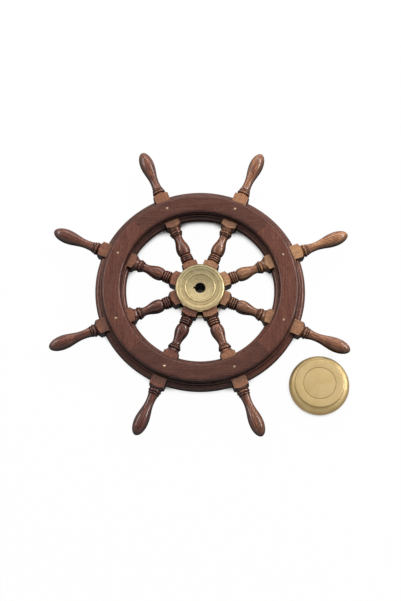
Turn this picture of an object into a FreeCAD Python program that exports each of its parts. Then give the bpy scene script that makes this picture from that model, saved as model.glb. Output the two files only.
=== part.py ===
import FreeCAD, Part

# Steering wheel for a boat, of turned hardwood and brass, lying on its back with its hub cap beside it.
# Eight turned spokes run from a keyed brass hub through a rim built of three layers.
# The middle layer is a felloe between each two spokes, and a ring of four quadrants covers it on each side.
# Millimetres. The wheel's axis is Z, its front faces +Z, and the origin is at the hub's centre,
# half way through the spokes.
import math
import os

from FreeCAD import Vector

# Wheel
tip_radius = 300.0
spoke_count = 8
first_spoke_angle = 22.5
quadrant_count = 4

# Square blank that each spoke is turned from, which is also the depth of the rim's middle layer
stock = 28.0
stock_chamfer = 0.6

# Rim rings, front and back: flat face, quarter round and a small step on each edge
rim_radius = 165.1
ring_width = 37.8
ring_thickness = 12.0
ring_step_width = 1.1
ring_step_height = 5.4
ring_quirk = 0.7

# Felloes: a bead beside each ring, and a half round at mid depth that stands out past the rings
felloe_inner_reach = 8.2
felloe_outer_reach = 11.8
felloe_half_round = 8.4
felloe_bead = 2.2
felloe_ledge = 0.8

# Turned details of the spokes
shoulder_short = 6.0
shoulder_short_hollow = 1.0
shoulder_long = 10.0
shoulder_long_hollow = 2.2
groove_radius = 10.5
bead_radius = 12.3
bead_width = 5.8
collar_radius = 10.8
collar_width = 3.4
collar_step = 0.5
root_block_reach = 9.0
root_bead_width = 4.2
root_bead_radii = (12.2, 12.1, 11.6)
vase_foot_radius = 9.3
vase_foot_width = 1.3
vase_belly_radius = 12.9
vase_belly_run = 11.0
vase_neck_radius = 8.1
vase_neck_run = 6.5
rim_block_inner_reach = 3.4
rim_block_outer_reach = 6.4
handle_neck_radius = 8.1
handle_neck_run = 15.0
handle_belly_radius = 13.4
handle_belly_run = 27.0

# Hub: one casting of flange and sleeve, bored and keyed for a three-quarter inch shaft
bore_radius = 9.525
bore_chamfer = 1.2
key_width = 4.76
key_depth = 3.0
sleeve_radius = 17.0
sleeve_end = 1.0
flange_radius = 46.0
flange_edge = 2.8
lip_width = 6.2
lip_height = 6.8
lip_swell = 1.5
band_width = 3.6
band_height = 6.1
recess_slope = 2.0
recess_height = 3.8
hub_bead_radius = 27.5
hub_bead_width = 2.8
hub_bead_rise = 1.2
dish_height = 2.2

# Plate behind the spokes
back_plate_thickness = 8.0
back_plate_round = 4.0

# Screws: one through each spoke's root from the back, and one in each ring over each spoke
hub_screw_inset = 6.0
hub_screw_radius = 2.0
hub_screw_head_radius = 4.2
hub_screw_bite = 4.6
rim_screw_offset = 1.7
rim_screw_radius = 1.3
rim_screw_head_radius = 2.1
rim_screw_length = 24.0
front_head_rise = 0.7
dome_swell = 0.25

# Hub cap, spun from sheet, with a lip turned in to grip the hub's flange
cap_wall = 1.5
cap_height = 28.5
cap_disc_inset = 5.1
cap_disc_round = 2.4
cap_disc_rise = 5.4
cap_shoulder_width = 4.2
cap_shoulder_drop = 1.2
cap_belly_swell = 5.4
cap_base_width = 4.2
cap_scribe_radius = 29.6
cap_scribe_depth = 0.45
cap_apart = 31.0
cap_bearing = -38.8

# How far the handles of a smooth curve reach along it, and how steeply the vase swells from its foot
curve_lead = 0.37
neck_lead = 0.4
vase_lift = 0.7
quarter_ellipse_lead = 0.5523

# Two points closer than this are one
same_point = 1e-7

# Clearances
sleeve_clearance = 0.15
screw_clearance = 0.05
cap_clearance = 0.4

# Worked out from the sizes above
spoke_pitch = 360.0 / spoke_count
quadrant = 360.0 / quadrant_count
seat = stock / 2
face = seat + ring_thickness
back_face = seat + back_plate_thickness
ring_inner_radius = rim_radius - ring_width / 2
ring_outer_radius = rim_radius + ring_width / 2
felloe_inner_radius = ring_inner_radius - felloe_inner_reach
felloe_outer_radius = ring_outer_radius + felloe_outer_reach
rim_screw_circle = rim_radius + rim_screw_offset
hub_screw_circle = flange_radius - hub_screw_inset
lip_inner_radius = flange_radius - lip_width
band_inner_radius = lip_inner_radius - band_width
recess_radius = band_inner_radius - recess_slope
axis_x = Vector(1, 0, 0)
axis_z = Vector(0, 0, 1)
origin = Vector(0, 0, 0)


class Outline:
    """Half section in the XZ plane, drawn clockwise, so that a positive swell stands out of the material."""

    def __init__(self, x, z):
        self.start = Vector(x, 0, z)
        self.end = self.start
        self.edges = []

    def line(self, x, z):
        """Straight to (x, z)."""
        point = Vector(x, 0, z)
        self.edges.append(Part.LineSegment(self.end, point).toShape())
        self.end = point

    def arc(self, x, z, swell):
        """Arc to (x, z), its middle swell outside the straight line, or inside it where swell is negative."""
        point = Vector(x, 0, z)
        along = (point - self.end).normalize()
        middle = (self.end + point) * 0.5 + Vector(-along.z, 0, along.x) * swell
        self.edges.append(Part.Arc(self.end, middle, point).toShape())
        self.end = point

    def curve(self, x, z, lead_out, lead_in):
        """Smooth curve to (x, z) with a handle at each end, given from that end."""
        point = Vector(x, 0, z)
        bezier = Part.BezierCurve()
        first = self.end + Vector(lead_out[0], 0, lead_out[1])
        last = point + Vector(lead_in[0], 0, lead_in[1])
        bezier.setPoles([self.end, first, last, point])
        self.edges.append(bezier.toShape())
        self.end = point

    def turned(self, axis, angle=360.0):
        """The closed section revolved about an axis through the origin."""
        if not self.end.isEqual(self.start, same_point):
            self.line(self.start.x, self.start.z)
        return Part.Face(Part.Wire(self.edges)).revolve(origin, axis, angle)


def quarter_swell(radius):
    """How far the middle of a quarter round stands outside the straight line between its ends."""
    return radius * (1 - math.sqrt(0.5))


def about_z(shape, angle):
    """A copy of the shape, turned about the wheel's axis."""
    turned = shape.copy()
    turned.rotate(origin, axis_z, angle)
    return turned


def flipped(shape):
    """A copy of the shape, turned over from front to back about the X axis."""
    turned = shape.copy()
    turned.rotate(origin, axis_x, 180)
    return turned


def at_each_spoke(shape):
    """A copy of the shape at each spoke's angle."""
    return [about_z(shape, first_spoke_angle + i * spoke_pitch) for i in range(spoke_count)]


# Screws

def screw(head_radius, rise, radius, length, clearance=0.0):
    """Countersunk screw along Z, the edge of its head at the origin and its point at -length."""
    head = head_radius + clearance
    shank = radius + clearance
    end = -length - clearance
    outline = Outline(0, rise)
    if rise > 0:
        outline.arc(head, 0, rise * dome_swell)
    else:
        outline.line(head, 0)
    outline.line(shank, shank - head)
    outline.line(shank, end + shank)
    outline.line(0, end)
    return outline.turned(axis_z)


def rim_screw(rise, clearance=0.0):
    """Screw on the X axis, its head in the front face of the rim."""
    piece = screw(rim_screw_head_radius, rise, rim_screw_radius, rim_screw_length, clearance)
    piece.translate(Vector(rim_screw_circle, 0, face))
    return piece


def hub_screw(clearance=0.0):
    """Screw on the X axis, its head in the back plate and its point in the front flange."""
    length = back_plate_thickness + stock + hub_screw_bite
    piece = screw(hub_screw_head_radius, 0.0, hub_screw_radius, length, clearance)
    piece.translate(Vector(hub_screw_circle, 0, back_face))
    return flipped(piece)


# Spokes

def inner_turnings(outline, start, end, over_corners):
    """From the root's square to the rim's: beads, vase, neck, collar, bead and a long hollow shoulder."""
    x = start + shoulder_short
    outline.arc(x, groove_radius, -shoulder_short_hollow)
    for radius in root_bead_radii:
        x += root_bead_width
        outline.arc(x, groove_radius, radius - groove_radius)
    x += vase_foot_width
    outline.line(x, vase_foot_radius)
    belly = x + vase_belly_run
    rise = vase_belly_radius - vase_foot_radius
    lead_out = (vase_foot_width / 2, vase_lift * rise)
    outline.curve(belly, vase_belly_radius, lead_out, (-neck_lead * vase_belly_run, 0))
    bead_end = end - shoulder_long
    collar = bead_end - bead_width - collar_width / 2
    neck = collar - vase_neck_run
    reach = curve_lead * (neck - belly)
    outline.curve(neck, vase_neck_radius, (reach, 0), (-reach, 0))
    rise = collar_radius - vase_neck_radius
    outline.curve(collar, collar_radius, (vase_neck_run / 2, 0), (-rise / 2, -rise / 2))
    outline.line(collar + collar_width / 2 - collar_step, collar_radius)
    outline.line(bead_end - bead_width, groove_radius)
    outline.arc(bead_end, groove_radius, bead_radius - groove_radius)
    outline.arc(end, over_corners, -shoulder_long_hollow)


def outer_turnings(outline, start):
    """From the rim's square to the tip: short shoulder, bead, collar, neck and a round-ended handle."""
    x = start + shoulder_short
    outline.arc(x, groove_radius, -shoulder_short_hollow)
    x += bead_width
    outline.arc(x, groove_radius, bead_radius - groove_radius)
    x += collar_step
    collar_foot = groove_radius - collar_step
    outline.line(x, collar_foot)
    x += collar_width
    outline.arc(x, collar_foot, collar_radius - collar_foot)
    neck = x + handle_neck_run
    sweep = collar_foot - handle_neck_radius
    outline.curve(neck, handle_neck_radius, (sweep, -sweep / 2), (-neck_lead * handle_neck_run, 0))
    belly = tip_radius - handle_belly_run
    reach = curve_lead * (belly - neck)
    outline.curve(belly, handle_belly_radius, (reach, 0), (-reach, 0))
    lead_out = (quarter_ellipse_lead * handle_belly_run, 0)
    outline.curve(tip_radius, 0, lead_out, (0, quarter_ellipse_lead * handle_belly_radius))


def spoke():
    """One spoke along +X, left square at its root and in the rim, and turned between them and outside."""
    over_corners = seat * math.sqrt(2) + stock_chamfer
    root_end = flange_radius + root_block_reach
    rim_start = felloe_inner_radius - rim_block_inner_reach
    rim_end = felloe_outer_radius + rim_block_outer_reach
    outline = Outline(0, 0)
    outline.line(0, over_corners)
    outline.line(root_end, over_corners)
    inner_turnings(outline, root_end, rim_start, over_corners)
    outline.line(rim_end, over_corners)
    outer_turnings(outline, rim_end)
    round_blank = outline.turned(axis_x)
    square_blank = Part.makeBox(tip_radius + stock, stock, stock, Vector(0, -seat, -seat))
    long_edges = [e for e in square_blank.Edges if e.Length > tip_radius]
    square_blank = square_blank.makeChamfer(stock_chamfer, long_edges)
    body = round_blank.common(square_blank)
    body = body.common(mitre_wedge())
    sleeve = Part.makeCylinder(sleeve_radius + sleeve_clearance, 2 * stock, Vector(0, 0, -stock))
    holes = [sleeve, hub_screw(screw_clearance), rim_screw(0.0, screw_clearance)]
    holes.append(flipped(rim_screw(0.0, screw_clearance)))
    return body.cut(holes)


def mitre_wedge():
    """The sector about +X in which one spoke's root lies, between its two neighbours."""
    reach = tip_radius + stock
    half_width = reach * math.tan(math.radians(spoke_pitch / 2))
    corners = [origin, Vector(reach, -half_width, 0), Vector(reach, half_width, 0), origin]
    sector = Part.Face(Part.makePolygon(corners)).extrude(axis_z * 2 * stock)
    sector.translate(axis_z * -stock)
    return sector


# Rim

def ring_quadrant(start_angle):
    """One quadrant of the front ring, from start_angle on, with its screw holes."""
    inner_face = ring_inner_radius + ring_step_width
    outer_face = ring_outer_radius - ring_step_width
    step = seat + ring_step_height
    ovolo = ring_thickness - ring_step_height - ring_quirk
    swell = quarter_swell(ovolo)
    outline = Outline(inner_face + ovolo, face)
    outline.line(outer_face - ovolo, face)
    outline.arc(outer_face, step + ring_quirk, swell)
    outline.line(outer_face, step)
    outline.line(ring_outer_radius, step)
    outline.line(ring_outer_radius, seat)
    outline.line(ring_inner_radius, seat)
    outline.line(ring_inner_radius, step)
    outline.line(inner_face, step)
    outline.line(inner_face, step + ring_quirk)
    outline.arc(inner_face + ovolo, face, swell)
    segment = about_z(outline.turned(axis_z, quadrant), start_angle)
    hole = rim_screw(0.0, screw_clearance)
    return segment.cut(at_each_spoke(hole))


def front_rings():
    """The front ring's quadrants, with their joints half way between spokes."""
    first = first_spoke_angle + spoke_pitch / 2
    return [ring_quadrant(first + i * quadrant) for i in range(quadrant_count)]


def back_rings():
    """The back ring's quadrants, with their joints one spoke further round than the front's."""
    first = first_spoke_angle + spoke_pitch / 2 + spoke_pitch
    return [flipped(ring_quadrant(-first - (i + 1) * quadrant)) for i in range(quadrant_count)]


def felloe():
    """One felloe between the spoke along +X and the next, cut square against both."""
    inner_base = ring_inner_radius - felloe_ledge
    outer_base = ring_outer_radius + felloe_ledge
    inner_spring = felloe_inner_radius + felloe_half_round
    outer_spring = felloe_outer_radius - felloe_half_round
    bead_foot = seat - 2 * felloe_bead
    outline = Outline(inner_base, seat)
    outline.line(outer_base, seat)
    outline.arc(outer_base, bead_foot, felloe_bead)
    outline.line(outer_base, felloe_half_round)
    outline.line(outer_spring, felloe_half_round)
    outline.arc(outer_spring, -felloe_half_round, felloe_half_round)
    outline.line(outer_base, -felloe_half_round)
    outline.line(outer_base, -bead_foot)
    outline.arc(outer_base, -seat, felloe_bead)
    outline.line(inner_base, -seat)
    outline.arc(inner_base, -bead_foot, felloe_bead)
    outline.line(inner_base, -felloe_half_round)
    outline.line(inner_spring, -felloe_half_round)
    outline.arc(inner_spring, felloe_half_round, felloe_half_round)
    outline.line(inner_base, felloe_half_round)
    outline.line(inner_base, bead_foot)
    outline.arc(inner_base, seat, felloe_bead)
    sector = outline.turned(axis_z, spoke_pitch)
    blank = Part.makeBox(tip_radius, stock, 2 * stock, Vector(0, -seat, -stock))
    return sector.cut([blank, about_z(blank, spoke_pitch)])


# Hub

def keyway(low, high):
    """Slot for the shaft's key, on the -X side of the bore."""
    reach = bore_radius + key_depth
    return Part.makeBox(reach, key_width, high - low, Vector(-reach, -key_width / 2, low))


def hub_flange():
    """Front flange with its stepped face, and the sleeve that passes between the spokes' roots."""
    bore_top = seat + dish_height
    sleeve_bottom = -back_face - sleeve_end
    outline = Outline(bore_radius, bore_top - bore_chamfer)
    outline.line(bore_radius + bore_chamfer, bore_top)
    outline.line(hub_bead_radius - hub_bead_width / 2, seat + recess_height)
    outline.arc(hub_bead_radius + hub_bead_width / 2, seat + recess_height, hub_bead_rise)
    outline.line(recess_radius, seat + recess_height)
    outline.line(band_inner_radius, seat + band_height)
    outline.line(lip_inner_radius, seat + band_height)
    outline.line(lip_inner_radius, seat + lip_height)
    outline.arc(flange_radius, seat + flange_edge, lip_swell)
    outline.line(flange_radius, seat)
    outline.line(sleeve_radius, seat)
    outline.line(sleeve_radius, sleeve_bottom + bore_chamfer)
    outline.line(sleeve_radius - bore_chamfer, sleeve_bottom)
    outline.line(bore_radius + bore_chamfer, sleeve_bottom)
    outline.line(bore_radius, sleeve_bottom + bore_chamfer)
    body = outline.turned(axis_z)
    cutters = [keyway(sleeve_bottom, bore_top)]
    cutters.extend(at_each_spoke(hub_screw(screw_clearance)))
    return body.cut(cutters)


def hub_back_plate():
    """Round plate behind the spokes' roots, which the hub screws draw up to the front flange."""
    hole = sleeve_radius + sleeve_clearance
    outline = Outline(hole, -seat)
    outline.line(flange_radius, -seat)
    outline.line(flange_radius, back_plate_round - back_face)
    outline.arc(flange_radius - back_plate_round, -back_face, quarter_swell(back_plate_round))
    outline.line(hole, -back_face)
    return outline.turned(axis_z).cut(at_each_spoke(hub_screw(screw_clearance)))


# Hub cap

def hub_cap():
    """Spun cap with a raised disc, a round belly and a lip turned in, lying face up beside the wheel."""
    lip_radius = flange_radius + cap_clearance
    base_radius = lip_radius + cap_base_width
    disc_radius = base_radius - cap_disc_inset
    shoulder_height = cap_height - cap_disc_rise
    shoulder_radius = disc_radius + cap_shoulder_width
    inner_round = cap_disc_round - cap_wall
    under = cap_height - cap_wall
    belly_top = shoulder_height - cap_shoulder_drop
    outline = Outline(0, cap_height)
    outline.line(cap_scribe_radius - cap_scribe_depth, cap_height)
    outline.line(cap_scribe_radius, cap_height - cap_scribe_depth)
    outline.line(cap_scribe_radius + cap_scribe_depth, cap_height)
    outline.line(disc_radius - cap_disc_round, cap_height)
    outline.arc(disc_radius, cap_height - cap_disc_round, quarter_swell(cap_disc_round))
    outline.line(disc_radius, shoulder_height)
    outline.line(shoulder_radius, belly_top)
    outline.arc(base_radius, 0, cap_belly_swell)
    outline.line(lip_radius, 0)
    outline.line(lip_radius, cap_wall)
    outline.line(base_radius - cap_wall, cap_wall)
    outline.arc(shoulder_radius - cap_wall, belly_top - cap_wall, cap_wall - cap_belly_swell)
    outline.line(disc_radius - cap_wall, shoulder_height - cap_wall)
    outline.line(disc_radius - cap_wall, under - inner_round)
    outline.arc(disc_radius - cap_disc_round, under, -quarter_swell(inner_round))
    outline.line(0, under)
    cap = outline.turned(axis_z)
    cap_radius = base_radius + cap_belly_swell
    bearing = math.radians(cap_bearing)
    distance = felloe_outer_radius + cap_apart + cap_radius
    cap.translate(Vector(distance * math.cos(bearing), distance * math.sin(bearing), -face))
    return cap


# Pieces

def numbered(name, shapes):
    """Names for a set of like pieces, counted from 1."""
    return {f"{name}_{i + 1}": shape for i, shape in enumerate(shapes)}


def wheel():
    """Every piece of the wheel by name."""
    back_screws = [flipped(piece) for piece in at_each_spoke(rim_screw(0.0))]
    pieces = {
        "hub_flange": hub_flange(),
        "hub_back_plate": hub_back_plate(),
        "hub_screws": Part.makeCompound(at_each_spoke(hub_screw())),
        "rim_screws_front": Part.makeCompound(at_each_spoke(rim_screw(front_head_rise))),
        "rim_screws_back": Part.makeCompound(back_screws),
        "hub_cap": hub_cap(),
    }
    pieces.update(numbered("spoke", at_each_spoke(spoke())))
    pieces.update(numbered("felloe", at_each_spoke(felloe())))
    pieces.update(numbered("front_ring", front_rings()))
    pieces.update(numbered("back_ring", back_rings()))
    return pieces


os.makedirs("parts", exist_ok=True)
for node, shape in wheel().items():
    shape.exportStep(f"parts/{node}.step")
    bounds = shape.BoundBox
    print(f"{node}: {len(shape.Solids)} solid(s), {shape.Volume / 1000:.1f} cm3,"
          f" {bounds.XLength:.1f} x {bounds.YLength:.1f} x {bounds.ZLength:.1f} mm, valid {shape.isValid()}")
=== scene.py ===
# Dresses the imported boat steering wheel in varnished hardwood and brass, and lights it in a white studio.
# Sizes in the classes are millimetres and degrees, as on a drawing. Blender works in metres.
import logging
import math
from contextlib import contextmanager
from dataclasses import dataclass, replace
from enum import Enum
from typing import Any, Iterator, Sequence

import bpy
from mathutils import Matrix, Vector


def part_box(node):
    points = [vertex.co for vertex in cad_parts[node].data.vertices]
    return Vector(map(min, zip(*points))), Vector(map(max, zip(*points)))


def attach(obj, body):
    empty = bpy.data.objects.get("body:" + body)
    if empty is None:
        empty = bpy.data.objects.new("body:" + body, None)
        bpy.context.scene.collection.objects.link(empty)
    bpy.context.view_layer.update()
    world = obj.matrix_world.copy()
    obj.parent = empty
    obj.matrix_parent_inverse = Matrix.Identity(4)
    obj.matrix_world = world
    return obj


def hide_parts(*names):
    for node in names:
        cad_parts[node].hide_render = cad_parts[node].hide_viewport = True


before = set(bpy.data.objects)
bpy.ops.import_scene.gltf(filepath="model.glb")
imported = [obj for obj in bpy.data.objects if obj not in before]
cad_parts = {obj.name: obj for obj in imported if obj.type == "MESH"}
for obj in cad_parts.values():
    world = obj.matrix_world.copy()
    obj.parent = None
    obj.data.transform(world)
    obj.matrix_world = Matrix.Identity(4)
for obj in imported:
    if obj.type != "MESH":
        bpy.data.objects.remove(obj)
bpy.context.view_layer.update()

log = logging.getLogger("steering_wheel")
MM = 0.001
BODY = "root"
AXIS_X = (1.0, 0.0, 0.0)
AXIS_Z = (0.0, 0.0, 1.0)
Point = tuple[float, float]
Piece = bpy.types.Object
Tree = bpy.types.NodeTree
Socket = bpy.types.NodeSocket
# Points closer than this, in millimetres, are one
SAME_POINT = 0.002
# A rounding takes at most this share of a line beside it, and treats a corner as no sharper than this turn
LINE_SHARE = 0.42
SHARPEST_TURN = 120.0
# The middle of a quarter circle stands this share of its radius outside the line between its ends
QUARTER_SWELL = 1 - math.sqrt(0.5)


class Side(Enum):
    """Which face of the wheel a piece belongs to."""

    FRONT = 1
    BACK = -1


# Drawing and turning

class Outline:
    """A half section in the XZ plane, drawn clockwise, in millimetres."""

    def __init__(self, x: float, z: float) -> None:
        """Starts the outline at a point."""
        self.points: list[Point] = [(x, z)]

    def line(self, x: float, z: float) -> "Outline":
        """Goes straight to (x, z) and returns the outline."""
        self.points.append((x, z))
        return self

    def arc(self, x: float, z: float, swell: float, steps: int = 8) -> "Outline":
        """Goes to (x, z) on a circular arc.

        Args:
            x: End of the arc, along X.
            z: End of the arc, along Z.
            swell: How far the arc's middle stands outside the straight line, or inside where it is negative.
            steps: Number of straight steps that follow the arc.

        Returns:
            The outline itself.
        """
        start, end = Vector(self.points[-1]), Vector((x, z))
        chord = end - start
        outward = Vector((-chord.y, chord.x)).normalized()
        radius = (chord.length ** 2 / 4 + swell ** 2) / (2 * abs(swell))
        centre = (start + end) / 2 + outward * (swell - math.copysign(radius, swell))
        turn = -math.copysign(2 * math.atan2(chord.length / 2, radius - abs(swell)), swell)
        for i in range(1, steps):
            self.points.append(tuple(centre + Matrix.Rotation(turn * i / steps, 2) @ (start - centre)))
        return self.line(x, z)

    def curve(self, x: float, z: float, lead_out: Point, lead_in: Point, steps: int = 16) -> "Outline":
        """Goes to (x, z) on a smooth curve with a handle at each end.

        Args:
            x: End of the curve, along X.
            z: End of the curve, along Z.
            lead_out: Handle at the start, given from the start.
            lead_in: Handle at the end, given from the end.
            steps: Number of straight steps that follow the curve.

        Returns:
            The outline itself.
        """
        start, end = Vector(self.points[-1]), Vector((x, z))
        first, last = start + Vector(lead_out), end + Vector(lead_in)
        for i in range(1, steps):
            t = i / steps
            u = 1 - t
            self.points.append(tuple(
                u ** 3 * start + 3 * u * u * t * first + 3 * u * t * t * last + t ** 3 * end))
        return self.line(x, z)

    def softened(self, radius: float, closed: bool, least_turn: float = 24.0) -> list[Point]:
        """Rounds each sharp corner, as sandpaper or a polishing wheel does.

        Args:
            radius: Radius of the rounding, where the neighbouring lines are long enough for it.
            closed: Whether the last point joins the first.
            least_turn: Corners that turn by fewer degrees are left as they are.

        Returns:
            The points of the rounded outline.
        """
        corners = [Vector(p) for p in self.points]
        rounded: list[Point] = []
        for i, corner in enumerate(corners):
            inner = closed or 0 < i < len(corners) - 1
            before, after = corners[i - 1] - corner, corners[(i + 1) % len(corners)] - corner
            bends = inner and before.length and after.length
            turn = 180.0 - math.degrees(before.angle(after)) if bends else 0.0
            if turn < least_turn:
                rounded.append(tuple(corner))
                continue
            reach = radius * math.tan(math.radians(min(turn, SHARPEST_TURN)) / 2)
            start = corner + before.normalized() * min(reach, LINE_SHARE * before.length)
            end = corner + after.normalized() * min(reach, LINE_SHARE * after.length)
            for t in (0.0, 0.25, 0.5, 0.75, 1.0):
                rounded.append(tuple((1 - t) ** 2 * start + 2 * t * (1 - t) * corner + t * t * end))
        return rounded


def choose(*pieces: Piece) -> None:
    """Selects these pieces alone and makes the first one active."""
    bpy.ops.object.select_all(action="DESELECT")
    for piece in pieces:
        piece.select_set(True)
    bpy.context.view_layer.objects.active = pieces[0]


@contextmanager
def editing(piece: Piece) -> Iterator[None]:
    """Opens a piece in edit mode with all of it selected, and closes it again."""
    choose(piece)
    bpy.ops.object.mode_set(mode="EDIT")
    bpy.ops.mesh.select_all(action="SELECT")
    yield
    bpy.ops.object.mode_set(mode="OBJECT")


def settle(piece: Piece) -> None:
    """Moves a piece's place, turn and scale into its mesh."""
    choose(piece)
    bpy.ops.object.transform_apply(location=True, rotation=True, scale=True)


def drawn(name: str, points: Sequence[Point]) -> Piece:
    """Draws a line through the points, by extruding one vertex from each to the next.

    Args:
        name: Name of the new piece.
        points: Points in the XZ plane, in millimetres.

    Returns:
        A piece that holds the line alone, at the origin.
    """
    bpy.ops.object.select_all(action="DESELECT")
    x, z = points[0]
    bpy.ops.mesh.primitive_plane_add(size=MM, enter_editmode=True, location=(x * MM, 0, z * MM))
    piece = bpy.context.active_object
    piece.name = piece.data.name = name
    bpy.ops.mesh.merge(type="CENTER")
    for before, after in zip(points, points[1:]):
        step = ((after[0] - before[0]) * MM, 0, (after[1] - before[1]) * MM)
        bpy.ops.mesh.extrude_vertices_move(TRANSFORM_OT_translate={"value": step})
    bpy.ops.object.mode_set(mode="OBJECT")
    settle(piece)
    return piece


def turned(name: str, points: Sequence[Point], axis: tuple[float, float, float], steps: int,
           angle: float = 360.0) -> Piece:
    """Spins an outline about an axis through the origin.

    Args:
        name: Name of the new piece.
        points: The half section, in millimetres, closed where it doesn't end on the axis.
        axis: The axis that it turns about.
        steps: Number of steps all the way from start to end.
        angle: Angle of the sweep, in degrees. A sweep short of a full turn gets flat ends.

    Returns:
        The solid of revolution, its normals outwards.
    """
    piece = drawn(name, points)
    with editing(piece):
        bpy.ops.mesh.spin(steps=steps, angle=-math.radians(angle), center=(0, 0, 0), axis=axis)
        bpy.ops.mesh.select_all(action="SELECT")
        bpy.ops.mesh.remove_doubles(threshold=SAME_POINT * MM)
        if angle < 360.0:
            bpy.ops.mesh.fill_holes(sides=0)
            bpy.ops.mesh.select_all(action="SELECT")
        bpy.ops.mesh.normals_make_consistent(inside=False)
    return piece


def boolean(piece: Piece, tool: Piece, operation: str) -> None:
    """Cuts a piece with a tool, or keeps what they share, and removes the tool.

    Args:
        piece: The piece that is worked on.
        tool: The solid that it is worked with.
        operation: DIFFERENCE or INTERSECT.
    """
    choose(piece)
    modifier = piece.modifiers.new(operation.lower(), "BOOLEAN")
    modifier.operation = operation
    modifier.solver = "EXACT"
    modifier.object = tool
    bpy.ops.object.modifier_apply(modifier=modifier.name)
    bpy.data.objects.remove(tool)


def bar(size: Sequence[float], centre: Sequence[float], edge: float = 0.0) -> Piece:
    """A square bar with rounded edges, which other pieces are cut from or with.

    Args:
        size: Its lengths along X, Y and Z, in millimetres.
        centre: Its centre, in millimetres.
        edge: Width of its bevelled edges.

    Returns:
        The bar.
    """
    bpy.ops.object.select_all(action="DESELECT")
    bpy.ops.mesh.primitive_cube_add(size=1.0, location=[c * MM for c in centre])
    piece = bpy.context.active_object
    piece.scale = [s * MM for s in size]
    settle(piece)
    if edge:
        with editing(piece):
            bpy.ops.mesh.bevel(offset=edge * MM, segments=3, affect="EDGES")
    return piece


def rod(radius: float, low: float, high: float, centre: Point = (0.0, 0.0), sides: int = 64) -> Piece:
    """A plain rod along Z that holes are cut with.

    Args:
        radius: Its radius, in millimetres.
        low: Its lower end.
        high: Its upper end.
        centre: Where its axis stands in the XY plane.
        sides: Number of its sides.

    Returns:
        The rod.
    """
    bpy.ops.object.select_all(action="DESELECT")
    bpy.ops.mesh.primitive_cylinder_add(vertices=sides, radius=radius * MM, depth=(high - low) * MM,
                                        location=(centre[0] * MM, centre[1] * MM, (high + low) / 2 * MM))
    piece = bpy.context.active_object
    settle(piece)
    return piece


def copied(piece: Piece, name: str, turn: float = 0.0, shift: Sequence[float] = (0, 0, 0),
           over: bool = False) -> Piece:
    """A copy of a piece with its own mesh, set elsewhere on the wheel.

    Args:
        piece: The piece that is copied.
        name: Name of the copy.
        turn: Angle about the wheel's axis, in degrees.
        shift: How far it moves after that, in millimetres.
        over: Whether it is first turned over, from front to back, about the X axis.

    Returns:
        The copy, its place in its mesh.
    """
    choose(piece)
    bpy.ops.object.duplicate()
    copy = bpy.context.active_object
    copy.name = copy.data.name = name
    copy.rotation_euler = (math.pi if over else 0.0, 0.0, math.radians(turn))
    copy.location = [s * MM for s in shift]
    settle(copy)
    return copy


def joined(name: str, pieces: Sequence[Piece]) -> Piece:
    """Makes one piece of several and gives it a name."""
    choose(*pieces)
    bpy.ops.object.join()
    pieces[0].name = pieces[0].data.name = name
    return pieces[0]


def smooth(piece: Piece, angle: float = 32.0) -> None:
    """Shades a piece smooth, apart from edges that turn by more than this angle in degrees."""
    choose(piece)
    bpy.ops.object.shade_smooth_by_angle(angle=math.radians(angle))


def place(piece: Piece, finish: bpy.types.Material, slot: str, *nodes: str) -> None:
    """Gives a finished piece its material and its part in the wheel.

    Args:
        piece: The finished piece.
        finish: Its material.
        slot: The record's material slot that the finish belongs to. It is not used.
        nodes: The CAD nodes that the piece stands for.
    """
    piece.data.materials.clear()
    piece.data.materials.append(finish)
    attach(piece, BODY)
    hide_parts(*nodes)
    log.info("%s: %d faces, for %s", piece.name, len(piece.data.polygons), ", ".join(nodes))


# Finishes

def linear(colour: str) -> tuple[float, float, float, float]:
    """Turns an sRGB colour such as #704a3e into the linear one that a shader takes."""
    values = [int(colour[i:i + 2], 16) / 255 for i in (1, 3, 5)]
    return (*(v / 12.92 if v <= 0.04045 else ((v + 0.055) / 1.055) ** 2.4 for v in values), 1.0)


def blend(first: str, second: str, share: float) -> str:
    """The hex colour that lies a share of the way from one to another."""
    pairs = [(int(first[i:i + 2], 16), int(second[i:i + 2], 16)) for i in (1, 3, 5)]
    return "#" + "".join(f"{round(a + (b - a) * share):02x}" for a, b in pairs)


def add_node(tree: Tree, kind: str, inputs: dict[Any, Any] | None = None,
             **settings: Any) -> bpy.types.Node:
    """Adds a node, sets it and links it.

    Args:
        tree: The material's or the world's node tree.
        kind: The node's type.
        inputs: For each input, by name or number, a value or the socket that feeds it.
        settings: The node's own settings.

    Returns:
        The new node.
    """
    node = tree.nodes.new(kind)
    for name, value in settings.items():
        setattr(node, name, value)
    for name, value in (inputs or {}).items():
        if isinstance(value, Socket):
            tree.links.new(value, node.inputs[name])
        else:
            node.inputs[name].default_value = value
    return node


def calc(tree: Tree, operation: str, first: Any, second: Any = 0.0) -> Socket:
    """The result of a sum with one or two values or sockets."""
    return add_node(tree, "ShaderNodeMath", {0: first, 1: second}, operation=operation).outputs[0]


def mapped(tree: Tree, value: Socket, source: Point,
           target: Point = (0.0, 1.0)) -> Socket:
    """Maps a value from one range to another, and holds it inside the second."""
    inputs = {0: value, 1: source[0], 2: source[1], 3: target[0], 4: target[1]}
    return add_node(tree, "ShaderNodeMapRange", inputs).outputs[0]


def mixed(tree: Tree, share: Any, first: Any, second: Any, way: str = "MIX") -> Socket:
    """Mixes two colours, or multiplies them, by a share."""
    inputs = {0: share, 6: first, 7: second}
    return add_node(tree, "ShaderNodeMix", inputs, data_type="RGBA", blend_type=way).outputs[2]


def openness(tree: Tree, reach: float, samples: int = 6) -> Socket:
    """One in the open and less where a place is closed in, within a reach in millimetres."""
    node = add_node(tree, "ShaderNodeAmbientOcclusion", {"Distance": reach * MM}, samples=samples)
    return node.outputs["AO"]


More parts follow.
